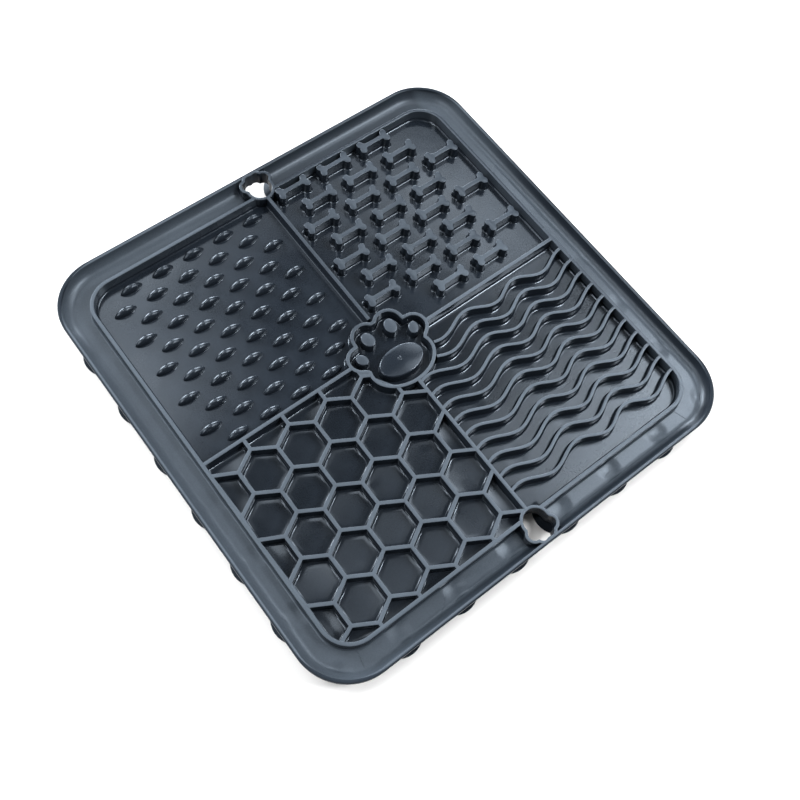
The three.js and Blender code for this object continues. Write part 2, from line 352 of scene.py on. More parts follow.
def rise_steps(height, fillet, draft, round_over):
    """Steps from the foot of a raised form to its top: fillet, drafted side, rounded edge."""
    turns = [math.pi / 2 * i / ARC_STEPS for i in range(ARC_STEPS + 1)]
    quarter = [(math.sin(b) - math.sin(a), math.cos(a) - math.cos(b)) for a, b in zip(turns, turns[1:])]
    steps = [(fillet * far, fillet * near) for far, near in quarter]
    steps.append((draft, height - fillet - round_over))
    return steps + [(round_over * near, round_over * far) for far, near in quarter]


def fall_steps(height, fillet, draft, round_over):
    """The same steps backwards: over an edge, down its side and out to the floor."""
    return [(inwards, -upwards) for inwards, upwards in rise_steps(height, fillet, draft, round_over)[::-1]]


def rib_profile(thick, height):
    """Half widths and heights of a rib from its foot to its top, in metres."""
    points = [(0.0, -SINK)]
    run, rise = 0.0, 0.0
    for inwards, upwards in rise_steps(height, FILLET, DRAFT, ROUND):
        run += inwards
        rise += upwards
        points.append((run, rise))
    foot = thick / 2 + run - ROUND
    return [(foot - u, z) for u, z in points]


def rib_section(bm, thick, height, floor_z, place):
    """The section of a rib as a loop of edges; place turns (u, z) to a point."""
    half = rib_profile(thick, height)
    line = [(-u, z) for u, z in half] + [(u, z) for u, z in half[::-1]]
    verts = [bm.verts.new(place(u, floor_z + z)) for u, z in line]
    edges = [bm.edges.new(pair) for pair in zip(verts, verts[1:] + verts[:1])]
    return verts, edges


def straight_rib(bm, start, end, thick, height, floor_z):
    """A straight rib between two places in millimetres."""
    a, b = Vector((start[0] * MM, start[1] * MM, 0)), Vector((end[0] * MM, end[1] * MM, 0))
    along = (b - a).normalized()
    across = Vector((-along.y, along.x, 0))
    verts, edges = rib_section(
        bm, thick, height, floor_z, lambda u, z: a + across * u + Vector((0, 0, z)))
    made = bmesh.ops.extrude_edge_only(bm, edges=edges)["geom"]
    bmesh.ops.translate(bm, vec=b - a, verts=verts_in(made))


def square_sweep(bm, verts, edges, half, radius, steps):
    """Takes a section that stands at (half, half - radius) once round a rounded square."""
    centre = half - radius
    geom = list(verts) + list(edges)
    corners = ((1, 1), (-1, 1), (-1, -1), (1, -1))
    for turn, (sx, sy) in enumerate(corners):
        geom = bmesh.ops.spin(
            bm, geom=geom, cent=(sx * centre, sy * centre, 0), axis=(0, 0, 1), angle=math.pi / 2,
            steps=steps, use_merge=False, use_duplicate=False)["geom_last"]
        nx, ny = corners[(turn + 1) % 4]
        made = bmesh.ops.extrude_edge_only(bm, edges=edges_in(geom))["geom"]
        bmesh.ops.translate(bm, vec=((nx - sx) * centre, (ny - sy) * centre, 0), verts=verts_in(made))
        geom = [g for g in made if not isinstance(g, bmesh.types.BMFace)]
    bmesh.ops.remove_doubles(bm, verts=bm.verts, dist=MERGE)


def turned(bm, profile_mm, steps):
    """Turns a profile of (radius, height) in millimetres once round Z."""
    verts = [bm.verts.new((r * MM, 0, z * MM)) for r, z in profile_mm]
    edges = [bm.edges.new(pair) for pair in zip(verts, verts[1:])]
    bmesh.ops.spin(bm, geom=verts + edges, cent=(0, 0, 0), axis=(0, 0, 1), angle=2 * math.pi,
                   steps=steps, use_merge=True, use_duplicate=False)


def cut_holes(piece):
    """Cuts both hang holes through a piece, from below it to above it."""
    low, deep = -2 * MM, 16 * MM
    for side in (1, -1):
        bm = bmesh.new()
        face = flat_face(bm, [(x, side * y) for x, y in hole_outline(HOLE_CUT)], low)
        made = bmesh.ops.extrude_face_region(bm, geom=[face])["geom"]
        bmesh.ops.translate(bm, vec=(0, 0, deep), verts=verts_in(made))
        bmesh.ops.recalc_face_normals(bm, faces=bm.faces)
        mesh = bpy.data.meshes.new("hole_cutter")
        bm.to_mesh(mesh)
        bm.free()
        cutter = bpy.data.objects.new("hole_cutter", mesh)
        bpy.context.scene.collection.objects.link(cutter)
        boolean = piece.modifiers.new("hang hole", "BOOLEAN")
        boolean.operation = "DIFFERENCE"
        boolean.solver = "EXACT"
        boolean.object = cutter
        graph = bpy.context.evaluated_depsgraph_get()
        cut = bpy.data.meshes.new_from_object(piece.evaluated_get(graph))
        piece.modifiers.clear()
        old = piece.data
        piece.data = cut
        bpy.data.meshes.remove(old)
        bpy.data.objects.remove(cutter)
        bpy.data.meshes.remove(mesh)


def stamp(name, material, template, places):
    """Joins copies of a small bmesh, moved to places in metres, into one piece."""
    small = bpy.data.meshes.new("template")
    template.to_mesh(small)
    template.free()
    bm = bmesh.new()
    for place in places:
        bm.from_mesh(small)
        bm.verts.ensure_lookup_table()
        new = bm.verts[-len(small.vertices):]
        bmesh.ops.translate(bm, vec=place, verts=new)
    bpy.data.meshes.remove(small)
    return piece_from(bm, name, material)


# Materials.

def add_node(tree, kind, values, output=0, **settings):
    """Adds a node with its settings. Its values are numbers, or outputs to link. Gives one output."""
    node = tree.nodes.new("ShaderNode" + kind)
    for key, setting in settings.items():
        setattr(node, key, setting)
    for key, value in values.items() if isinstance(values, dict) else enumerate(values):
        if isinstance(value, bpy.types.NodeSocket):
            tree.links.new(value, node.inputs[key])
        else:
            node.inputs[key].default_value = value
    return node.outputs[output]


def joined(tree, operation, *values):
    """Joins zones in turn: MULTIPLY keeps what lies in all of them, MAXIMUM what lies in any."""
    result = values[0]
    for value in values[1:]:
        result = add_node(tree, "Math", (result, value), operation=operation)
    return result


def zone(tree, at, *steps):
    """Multiplies smooth steps, each (measure, from, to, value before, value after)."""
    return joined(tree, "MULTIPLY", *[
        add_node(tree, "MapRange", (at[name], low, high, before, after), interpolation_type="SMOOTHSTEP")
        for name, low, high, before, after in steps])


def new_material(name):
    """A new material, its node tree and its shader."""
    material = bpy.data.materials.new(name)
    material.use_nodes = True
    return material, material.node_tree, material.node_tree.nodes["Principled BSDF"]


# Noises of the silicone: (name, size in millimetres, detail, roughness).
NOISES = (
    # Moulding grain, drawn at 0.5 mm because the real 0.1 mm doesn't show.
    ("grain", 0.5, 2.0, 0.6),
    # The sheet isn't quite level.
    ("swell", 12.0, 1.0, 0.5),
    # Smears where the mat was handled.
    ("smear", 25.0, 4.0, 0.6),
)


def mat_measures(tree, sizes):
    """What the finish goes by: measures of a place in millimetres, and noises from 0 to 1."""
    place = add_node(tree, "VectorMath", {
        "Vector": add_node(tree, "TexCoord", (), "Object"), "Scale": 1 / MM}, operation="SCALE")
    across, along, up = [add_node(tree, "SeparateXYZ", (place,), axis) for axis in "XYZ"]
    # Outwards from the middle in rounded squares, as the inner wall and the lip run.
    straight = (sizes.wall_half - sizes.wall_radius) / MM
    beyond = place
    for operation, *values in (("MULTIPLY", (1, 1, 0)), ("ABSOLUTE",),
                               ("SUBTRACT", (straight, straight, 0)), ("MAXIMUM", (0, 0, 0))):
        beyond = add_node(tree, "VectorMath", [beyond, *values], operation=operation)
    outwards = add_node(tree, "Math", (
        add_node(tree, "VectorMath", (beyond,), "Value", operation="LENGTH"), straight), operation="ADD")
    at = {"place": place, "across": across, "along": along}
    for name, value in (("aside", across), ("ahead", along)):
        at[name] = add_node(tree, "Math", (value,), operation="ABSOLUTE")
    for name, more, less in (
            ("corner", across, along), ("over_floor", up, sizes.floor_z / MM),
            ("under_top", sizes.top_z / MM, up), ("past_wall", outwards, sizes.wall_half / MM),
            ("from_edge", sizes.lip_half / MM, outwards)):
        at[name] = add_node(tree, "Math", (more, less), operation="SUBTRACT")
    for name, size, detail, roughness in NOISES:
        at[name] = add_node(tree, "TexNoise", {
            "Vector": place, "Scale": 1 / size, "Detail": detail, "Roughness": roughness})
    return at


def worn_and_painted_light(tree, at):
    """Tops of the ribs and the lip, worn drier and painted lighter than the floors: partly wear, partly
    painted light, weaker towards +X and weakest in the +X, +Y quarter.
    """
    tops = joined(tree, "MAXIMUM", zone(tree, at, ("across", -40, 25, 1, 0)), zone(
        tree, at, ("along", 0, 20, 1, 0.45), ("along", 84, 87, 1, 0.2)))
    tops = joined(tree, "MULTIPLY", tops, zone(
        tree, at, ("across", 80, 86, 1, 0.6), ("corner", 60, 120, 1, 0.75),
        ("from_edge", 0.5, 1, 0.15, 1), ("under_top", 0.1, 0.35, 1, 0)))
    # The paw's four small pads are worn and painted paler as well, a little below the ribs' tops.
    small_pads = zone(tree, at, ("aside", 16, 17, 0.6, 0), ("along", -3.5, -2.5, 0, 1),
                      ("along", 11, 12, 1, 0), ("under_top", 0.65, 0.9, 1, 0))
    return joined(tree, "MAXIMUM", tops, small_pads)


def channel_zone(tree, at):
    """The channel and its slopes, without the hang holes' walls that stand in it."""
    apart_from_holes = joined(tree, "MAXIMUM", zone(tree, at, ("aside", 7, 7.8, 0, 1)), zone(
        tree, at, ("from_edge", 2, 2.6, 1, 0)))
    return joined(tree, "MULTIPLY", apart_from_holes, zone(
        tree, at, ("past_wall", 0.6, 1.2, 0, 1), ("over_floor", -1.2, -0.2, 0, 1)))


def relief(tree, at, look, sizes):
    """Relief too shallow to model, as a normal: sink marks, swells and grain, in millimetres."""
    # The floor sags over the neck of every suction cup.
    pitch = sizes.cup_pitch / MM
    beside = at["place"]
    for operation, *values in (("WRAP", (pitch, pitch, pitch), (0, 0, 0)),
                               ("SUBTRACT", (pitch / 2, pitch / 2, 0)), ("MULTIPLY", (1, 1, 0))):
        beside = add_node(tree, "VectorMath", [beside, *values], operation=operation)
    apart = add_node(tree, "VectorMath", (beside, beside), "Value", operation="DOT_PRODUCT")
    over_cup = add_node(tree, "MapRange", (apart, 0, 32, 1, 0))
    # The marks are deeper in the channel, and where the mould filled last, towards -Y.
    depth = zone(tree, at, ("along", -80, 30, 1, 0.12), ("past_wall", -1, 1, look.sink * 0.2, look.sink))
    sunk = joined(tree, "MULTIPLY", over_cup, over_cup, depth, -1)
    # The swells are 0.05 mm high, and the grain is coarser towards +X and -Y.
    swell = add_node(tree, "Math", (at["swell"], 0.5), operation="SUBTRACT")
    level = add_node(tree, "Math", (swell, 0.05, sunk), operation="MULTIPLY_ADD")
    floor = joined(tree, "MULTIPLY", level, zone(tree, at, ("over_floor", 0.1, 0.6, 1, 0)))
    coarse = zone(tree, at, ("corner", 40, 110, 0.004, 0.045))
    height = add_node(tree, "Math", (at["grain"], coarse, floor), operation="MULTIPLY_ADD")
    return add_node(tree, "Bump", {"Height": height, "Strength": 1.0, "Distance": MM})


def silicone_material(look, sizes):
    """Platinum-cured silicone from a polished mould: glossy, with rib tops worn matt by handling, and
    painted light that pales the tops, the channel and the inner wall's inside face.
    """
    name = "moulded silicone"
    if name in bpy.data.materials:
        return bpy.data.materials[name]
    material, tree, shader = new_material(name)
    shader.inputs["IOR"].default_value = 1.45
    at = mat_measures(tree, sizes)
    worn_and_painted_light_tops, channel = worn_and_painted_light(tree, at), channel_zone(tree, at)

    # The channel is matt, but towards +X and -Y its floor keeps its gloss.
    matt = zone(tree, at, ("corner", 10, 90, 1, 0))
    slopes = zone(tree, at, ("over_floor", 0.05, 0.5, 0.3, 0.7))
    # The studs take the most licking and have lost some of their gloss.
    studs = zone(tree, at, ("across", -4, -3, 0.5, 0), ("along", 3, 4, 0, 1), ("over_floor", 0.6, 1.2, 0, 1))
    # The underside came from an unpolished half of the mould.
    under = zone(tree, at, ("over_floor", -1.2, -0.2, 1, 0))
    dry = joined(tree, "MAXIMUM", worn_and_painted_light_tops, studs, under, joined(
        tree, "MULTIPLY", channel, joined(tree, "MAXIMUM", matt, slopes)))

    # The channel is painted paler as painted light, most along the right side and least along the top
    # towards +X; where its floor is glossy, the painted light is on the floor alone.
    painted_light_patches = joined(tree, "MAXIMUM", zone(tree, at, ("across", 84, 90, 0, 1)), zone(
        tree, at, ("across", -40, 25, 0.8, 0)), zone(tree, at, ("along", 0, 80, 0.8, 0.3)))
    low = joined(tree, "MAXIMUM", matt, zone(tree, at, ("over_floor", 0.1, 1.4, 1, 0)))
    painted_channel_light = joined(tree, "MULTIPLY", painted_light_patches, channel, low, look.channel_painted_light)
    # The inside face of the inner wall is painted a little paler: painted light on a face that lies in
    # shade.
    painted_light_on_wall = zone(tree, at, ("past_wall", -2.2, -1.6, 0, 0.45), ("past_wall", -0.4, 0, 1, 0),
                     ("over_floor", 0.6, 1.6, 0, 1))

    # Trimmed faces are dull and dark: the lip's outer side and the insides of the hang holes.
    at["lip_side"] = zone(tree, at, ("from_edge", 0.4, 0.8, 1, 0))
    hole_side = zone(tree, at, ("aside", 6.8, 7.4, 1, 0), ("ahead", 83.5, 84.5, 0, 1),
                     ("under_top", 0.3, 0.5, 0, 1))
    at["dull"] = joined(tree, "MAXIMUM", joined(tree, "MULTIPLY", under, 0.8), at["lip_side"], hole_side)
    # Painted light and wear: the paler colour goes on the worn tops, the channel and the inner wall's inside
    # face, and much less on the lip's outer side.
    pale = joined(tree, "MULTIPLY", joined(tree, "MAXIMUM", worn_and_painted_light_tops, painted_light_on_wall, painted_channel_light), zone(
        tree, at, ("lip_side", 0, 1, 1, 0.2)))

    colour = add_node(tree, "Mix", {
        0: pale, 6: (*look.silicone, 1), 7: (*look.worn_and_painted_light_colour, 1)}, 2, data_type="RGBA")
    tone = zone(tree, at, ("smear", 0.3, 0.7, 0.9, 1.1), ("grain", 0.3, 0.7, 0.9, 1.1))
    gloss = zone(tree, at, ("smear", 0.3, 0.7, look.gloss - 0.03, look.gloss + 0.03))
    tinted = add_node(tree, "VectorMath", {"Vector": colour, "Scale": tone}, operation="SCALE")
    roughness = add_node(tree, "Mix", {0: dry, 2: gloss, 3: look.rubbed_gloss}, data_type="FLOAT")
    for socket, source in (
            ("Base Color", tinted),
            ("Roughness", roughness),
            ("Specular IOR Level", zone(tree, at, ("dull", 0, 1, 0.5, 0.08))),
            ("Normal", relief(tree, at, look, sizes))):
        tree.links.new(source, shader.inputs[socket])
    return material


def table_material(look):
    """Matt painted board: pale and even."""
    material, tree, shader = new_material("matt white board")
    shader.inputs["Roughness"].default_value = 0.9
    # Brush mottle, about 40 mm across.
    mottle = add_node(tree, "TexNoise", {
        "Vector": add_node(tree, "TexCoord", (), "Object"), "Scale": 1 / (40 * MM), "Detail": 2.0})
    tint = add_node(tree, "MapRange", {"Value": mottle, "To Min": 0.98, "To Max": 1.0})
    base = add_node(tree, "VectorMath", {"Vector": look.table, "Scale": tint}, operation="SCALE")
    tree.links.new(base, shader.inputs["Base Color"])
    return material


class MatOperator:
    """What the operators share: sizes, look and the silicone."""
    bl_options = {"REGISTER", "UNDO"}

    def prepare(self, context):
        self.sizes = context.scene.mat_sizes
        self.look = context.scene.mat_look
        self.silicone = silicone_material(self.look, self.sizes)
        self.height = self.sizes.top_z - self.sizes.floor_z


class OBJECT_OT_tray(MatOperator, bpy.types.Operator):
    """Base sheet, channel and lip"""
    bl_idname = "lick_mat.tray"
    bl_label = "Tray"

    def execute(self, context):
        self.prepare(context)
        s = self.sizes
        # The section from the floor's inner edge, out over the lip and back under the sheet.
        rise, reach = s.top_z - s.floor_z, s.lip_half - s.lip_thick - s.floor_half
        inside, outside = [], []
        for i in range(11):
            a = math.pi / 2 * i / 10
            d = s.floor_half + reach * math.sin(a)
            inside.append((d, s.top_z - rise * math.cos(a)))
            outside.append((d + s.lip_thick * math.sin(a), s.top_z - (rise + s.sheet) * math.cos(a)))
        inside[-1] = (inside[-1][0], s.top_z - LIP_ROUND)
        lip = []
        for i in range(2 * ARC_STEPS + 1):
            a = math.pi - math.pi / 2 * i / ARC_STEPS
            mid = s.lip_half - (LIP_ROUND if i >= ARC_STEPS else s.lip_thick - LIP_ROUND)
            lip.append((mid + LIP_ROUND * math.cos(a), s.top_z + LIP_ROUND * (math.sin(a) - 1)))
        # The lip's outer side is upright down to 2 mm below its top.
        outside = [(min(d, s.lip_half), min(z, s.top_z - 2 * MM)) for d, z in outside]
        line = [(s.wall_half, s.floor_z), *inside[:-1], *lip, *outside[::-1],
                (s.wall_half, s.floor_z - s.sheet)]
        bm = bmesh.new()
        centre = s.lip_half - s.lip_radius
        verts = [bm.verts.new((d, centre, z)) for d, z in line]
        edges = [bm.edges.new(pair) for pair in zip(verts, verts[1:])]
        square_sweep(bm, verts, edges, s.lip_half, s.lip_radius, 24)
        tray = piece_from(bm, "tray", self.silicone)
        cut_holes(tray)
        return {"FINISHED"}


class OBJECT_OT_walls(MatOperator, bpy.types.Operator):
    """Inner wall and the cross that parts the field"""
    bl_idname = "lick_mat.walls"
    bl_label = "Walls"

    def execute(self, context):
        self.prepare(context)
        s = self.sizes
        bm = bmesh.new()
        start = Vector((s.wall_half, s.wall_half - s.wall_radius, 0))
        verts, edges = rib_section(
            bm, s.wall_thick, self.height, s.floor_z, lambda u, z: start + Vector((u, 0, z)))
        square_sweep(bm, verts, edges, s.wall_half, s.wall_radius, 20)
        wall = piece_from(bm, "inner_wall", self.silicone)
        cut_holes(wall)
        bm = bmesh.new()
        edge = s.wall_half / MM
        low = self.height - HAIR
        for near, far in (
                ((0, CROSS_TOP_Y), (0, CROSS_END_Y)), ((0, CROSS_BOTTOM_Y), (0, -CROSS_END_Y)),
                ((CROSS_SIDE_X, 0), (edge, 0)), ((-CROSS_SIDE_X, 0), (-edge, 0))):
            straight_rib(bm, near, far, s.wall_thick, low, s.floor_z)
        piece_from(bm, "cross", self.silicone)
        return {"FINISHED"}


class OBJECT_OT_studs(MatOperator, bpy.types.Operator):
    """Rice-grain studs"""
    bl_idname = "lick_mat.studs"
    bl_label = "Studs"

    def execute(self, context):
        self.prepare(context)
        s = self.sizes
        bm = bmesh.new()
        turn = Matrix.Rotation(math.pi / 2, 4, "Y")
        bmesh.ops.create_uvsphere(bm, u_segments=28, v_segments=18, radius=1.0, matrix=turn)
        ends = bmesh.ops.bisect_plane(
            bm, geom=bm.verts[:] + bm.edges[:] + bm.faces[:], plane_co=(0, 0, 0.1), plane_no=(0, 0, 1),
            clear_inner=True)
        # The section is a little square, so the crest is broad; a stud narrows only near its ends.
        for vert in bm.verts:
            vert.co.y = math.copysign(abs(vert.co.y) ** STUD_CREST, vert.co.y)
            point = (1 - 0.999 * abs(vert.co.x)) ** STUD_END
            vert.co.y *= point
            vert.co.z *= point
        bmesh.ops.scale(
            bm, vec=(STUD_HALF_LENGTH * MM, STUD_HALF_WIDTH * MM, s.stud_height), verts=bm.verts)
        foot = edges_in(ends["geom_cut"])
        for grow, drop in STUD_FOOT:
            made = bmesh.ops.extrude_edge_only(bm, edges=foot)["geom"]
            foot = edges_in(made)
            for vert in verts_in(made):
                out = Vector((vert.co.x / STUD_HALF_LENGTH ** 2, vert.co.y / STUD_HALF_WIDTH ** 2, 0))
                vert.co += out.normalized() * grow * MM - Vector((0, 0, drop * MM))
        places = []
        for row in range(STUD_ROWS):
            shift = STUD_PITCH_X / 2 if row % 2 else 0
            for k in range(0 if row else 1, STUDS_IN_ROW):
                x = STUD_NEAR_X - shift - k * STUD_PITCH_X
                places.append((x * MM, (STUD_FIRST_Y + row * STUD_PITCH_Y) * MM, s.floor_z))
        stamp("studs", self.silicone, bm, places)
        return {"FINISHED"}


class OBJECT_OT_bones(MatOperator, bpy.types.Operator):
    """Bones"""
    bl_idname = "lick_mat.bones"
    bl_label = "Bones"

    def execute(self, context):
        self.prepare(context)
        s = self.sizes
        bm = bmesh.new()
        face = flat_face(bm, bone_outline((FILLET + DRAFT) / MM), -SINK)
        terrace(bm, [face], rise_steps(self.height + SINK - HAIR, FILLET, DRAFT, ROUND))
        places = []
        for row, (first, count) in enumerate(BONE_ROWS):
            for i in range(first, first + count):
                x = BONE_NEAR_X + i * BONE_PITCH_X + (row % 2) * BONE_STAGGER
                places.append((x * MM, (BONE_TOP_Y - row * BONE_PITCH_Y) * MM, s.floor_z))
        stamp("bones", self.silicone, bm, places)
        return {"FINISHED"}


class OBJECT_OT_waves(MatOperator, bpy.types.Operator):
    """Wave ribs"""
    bl_idname = "lick_mat.waves"
    bl_label = "Waves"

    def execute(self, context):
        self.prepare(context)
        s = self.sizes
        line = []
        for turn, (x0, x1) in enumerate(zip(WAVE_TURNS, WAVE_TURNS[1:])):
            sign = 1 if turn % 2 else -1
            for i in range(WAVE_STEPS):
                t = i / WAVE_STEPS
                line.append((x0 + t * (x1 - x0), sign * WAVE_SWING * math.cos(math.pi * t)))
        line.append((WAVE_TURNS[-1], WAVE_SWING))
        bm = bmesh.new()
        for rib in range(WAVE_RIBS):
            base_y = WAVE_FIRST_Y - rib * WAVE_PITCH
            path = [(x, y + base_y) for x, y in line if x > -0.2]
            path = [p for p in path if not inside_paw(p, 0.2)]
            self.rib(bm, path)
        piece_from(bm, "waves", self.silicone)
        return {"FINISHED"}

    def rib(self, bm, path):
        """One rib along a path in millimetres, upright all the way."""
        s = self.sizes
        sides = []
        for i, point in enumerate(path):
            a, b = path[max(i - 1, 0)], path[min(i + 1, len(path) - 1)]
            sides.append(Vector((a[1] - b[1], b[0] - a[0], 0)).normalized())
        start = Vector((path[0][0] * MM, path[0][1] * MM, 0))
        verts, edges = rib_section(
            bm, s.wave_thick, self.height - 2 * HAIR, s.floor_z,
            lambda u, z: start + sides[0] * u + Vector((0, 0, z)))
        across = [(v.co - start).dot(sides[0]) for v in verts]
        heights = [v.co.z for v in verts]
        for (x, y), side in list(zip(path, sides))[1:]:
            made = bmesh.ops.extrude_edge_only(bm, edges=edges)["geom"]
            edges = edges_in(made)
            ordered = sorted(verts_in(made), key=lambda v: v.index)
            for vert, u, z in zip(ordered, across, heights):
                vert.co = Vector((x * MM, y * MM, z)) + side * u


class OBJECT_OT_honeycomb(MatOperator, bpy.types.Operator):
    """Honeycomb"""
    bl_idname = "lick_mat.honeycomb"
    bl_label = "Honeycomb"

    def execute(self, context):
        self.prepare(context)
        s = self.sizes
        pitch = s.cell_pitch
        side = pitch / math.sqrt(3)
        top = s.top_z - 3 * HAIR
        bm = bmesh.new()
        for row in range(CELL_ROWS):
            for k in range(CELLS_IN_ROW):
                x = -(k + (0 if row % 2 else 0.5)) * pitch
                place = Matrix.Translation((x, -row * 1.5 * side, top))
                bmesh.ops.create_circle(bm, cap_ends=True, segments=6, radius=side, matrix=place)
        bmesh.ops.remove_doubles(bm, verts=bm.verts, dist=0.01 * MM)
        cells = bm.faces.layers.int.new("cell")
        for number, face in enumerate(bm.faces):
            face[cells] = number + 1
        self.trim(bm, s)
        rim = [v for v in bm.verts if v.co.length > TRIM_FROM * MM]
        bmesh.ops.remove_doubles(bm, verts=rim, dist=TRIM_MERGE * MM)
        self.trim_paw(bm, cells)
        bmesh.ops.recalc_face_normals(bm, faces=bm.faces)
        for face in bm.faces:
            if face.normal.z < 0:
                face.normal_flip()
        # Cells cut short by the walls get smaller fillets, and slivers stay solid.
        half = s.wall_thick / 2
        rooms = {f: 2 * f.calc_area() / f.calc_perimeter() - half - DRAFT for f in bm.faces}
        for fillet, least, most in ((FILLET, CELL_SMALL, math.inf), (FILLET / 2, CELL_SLIVER, CELL_SMALL)):
            faces = [f for f, room in rooms.items() if least * MM < room <= most * MM]
            steps = [(half - ROUND, 0.0)]
            steps += fall_steps(self.height - 4 * HAIR - CELL_DISH, fillet, DRAFT, ROUND)
            for inwards, upwards in steps:
                bmesh.ops.inset_individual(
                    bm, faces=faces, thickness=inwards, depth=upwards, use_even_offset=True)
        # The floors of whole cells sag a little towards their middles.
        whole = [f for f, room in rooms.items() if room > CELL_WHOLE * MM]
        for inwards, share in CELL_SAG:
            bmesh.ops.inset_individual(
                bm, faces=whole, thickness=inwards * MM, depth=-share * CELL_DISH, use_even_offset=True)
        rim = [e for e in bm.edges if e.is_boundary]
        made = bmesh.ops.extrude_edge_only(bm, edges=rim)["geom"]
        bmesh.ops.translate(bm, vec=(0, 0, s.floor_z - SINK - top), verts=verts_in(made))
        honeycomb = piece_from(bm, "honeycomb", self.silicone)
        cut_holes(honeycomb)
        return {"FINISHED"}

    def trim(self, bm, s):
        """Cuts the lattice along the middle of the walls round it."""
        planes = [((0, 0, 0), (1, 0, 0)), ((0, 0, 0), (0, 1, 0)),
                  ((-s.wall_half, 0, 0), (-1, 0, 0)), ((0, -s.wall_half, 0), (0, -1, 0))]
        centre = Vector((-(s.wall_half - s.wall_radius), -(s.wall_half - s.wall_radius), 0))
        for i in range(1, 8):
            a = math.radians(180 + 90 * i / 8)
            out = Vector((math.cos(a), math.sin(a), 0))
            planes.append((centre + out * s.wall_radius, out))
        for co, no in planes:
            bmesh.ops.bisect_plane(
                bm, geom=bm.verts[:] + bm.edges[:] + bm.faces[:], dist=0.001 * MM, plane_co=co,
                plane_no=no, clear_outer=True)

    def trim_paw(self, bm, cells):
        """Cuts the cells near the paw along the middle of its wall."""
        outline = paw_outline(PAW_TRIM, 120)
        near = [f for f in bm.faces if any(
            inside_paw((v.co.x / MM, v.co.y / MM), PAW_TRIM) for v in f.verts)]
        near_cells = {f[cells] for f in near}
        for (x0, y0), (x1, y1) in zip(outline, outline[1:] + outline[:1]):
            # The honeycomb lies towards -X and -Y, so the rest of the outline is passed over.
            if min(x0, x1) > 1 or min(y0, y1) > 1:
                continue
            faces = [f for f in bm.faces if f[cells] in near_cells]
            geom = {g for f in faces for g in (*f.verts, *f.edges)} | set(faces)
            normal = Vector((y1 - y0, x0 - x1, 0)).normalized()
            bmesh.ops.bisect_plane(
                bm, geom=list(geom), dist=0.001 * MM, plane_co=(x0 * MM, y0 * MM, 0), plane_no=normal)
        gone = [f for f in bm.faces if f[cells] in near_cells and inside_paw(
            (f.calc_center_median().x / MM, f.calc_center_median().y / MM), PAW_TRIM)]
        bmesh.ops.delete(bm, geom=gone, context="FACES")
        for number in near_cells:
            rest = [f for f in bm.faces if f[cells] == number]
            if len(rest) > 1:
                bmesh.ops.dissolve_faces(bm, faces=rest, use_verts=True)


class OBJECT_OT_paw(MatOperator, bpy.types.Operator):
    """Paw outline and its pads"""
    bl_idname = "lick_mat.paw"
    bl_label = "Paw"

    def execute(self, context):
        self.prepare(context)
        s = self.sizes
        bm = bmesh.new()
        face = flat_face(bm, paw_outline((FILLET + DRAFT) / MM), s.floor_z - SINK)
        height = self.height + SINK + HAIR
        steps = rise_steps(height, FILLET, DRAFT, ROUND)
        steps.append((s.wall_thick - SLIM * MM - 2 * ROUND, 0.0))
        steps += fall_steps(height, FILLET, DRAFT, ROUND)
        terrace(bm, [face], steps)
        piece_from(bm, "paw_wall", self.silicone)
        bm = bmesh.new()
        pads = []
        for x, y, rx, ry, turn in PADS:
            for side in (1, -1) if x else (1,):
                pads.append(ellipse(side * x, y, rx, ry, side * turn))
        for outline in pads:
            middle = Vector((sum(p[0] for p in outline), sum(p[1] for p in outline))) / len(outline)
            grown = [tuple(middle + (Vector(p) - middle) * PAD_SPREAD) for p in outline]
            face = flat_face(bm, grown, s.floor_z - SINK)
            terrace(bm, [face], rise_steps(
                self.height - PAD_DROP * MM, PAD_FILLET * MM, DRAFT, PAD_ROUND * MM))
        piece_from(bm, "pads", self.silicone)
        return {"FINISHED"}


class OBJECT_OT_hang_holes(MatOperator, bpy.types.Operator):
    """Walls round the hang holes"""
    bl_idname = "lick_mat.hang_holes"
    bl_label = "Hang holes"

    def execute(self, context):
        self.prepare(context)
        s = self.sizes
        bm = bmesh.new()
        for side in (1, -1):
            outline = [(x, side * y) for x, y in hole_outline(HOLE_WALL)]
            face = flat_face(bm, outline, s.floor_z - SINK)
            height = self.height + SINK + HAIR
            # Upright sides, so only the rounding of the usual steps is kept.
            steps = [(0.0, height - ROUND)] + rise_steps(height, FILLET, DRAFT, ROUND)[-ARC_STEPS:]
            steps.append(((HOLE_WALL - SLIM) * MM - 2 * ROUND, 0.0))
            steps += fall_steps(height, FILLET, DRAFT, ROUND)[:ARC_STEPS]
            steps.append((0.0, -(s.top_z - s.floor_z + s.sheet - ROUND)))
            terrace(bm, [face], steps)
            bmesh.ops.delete(bm, geom=[face], context="FACES")
            rims = [e for e in bm.edges if e.is_boundary]
            bmesh.ops.bridge_loops(bm, edges=rims)
        piece_from(bm, "hole_walls", self.silicone)
        return {"FINISHED"}


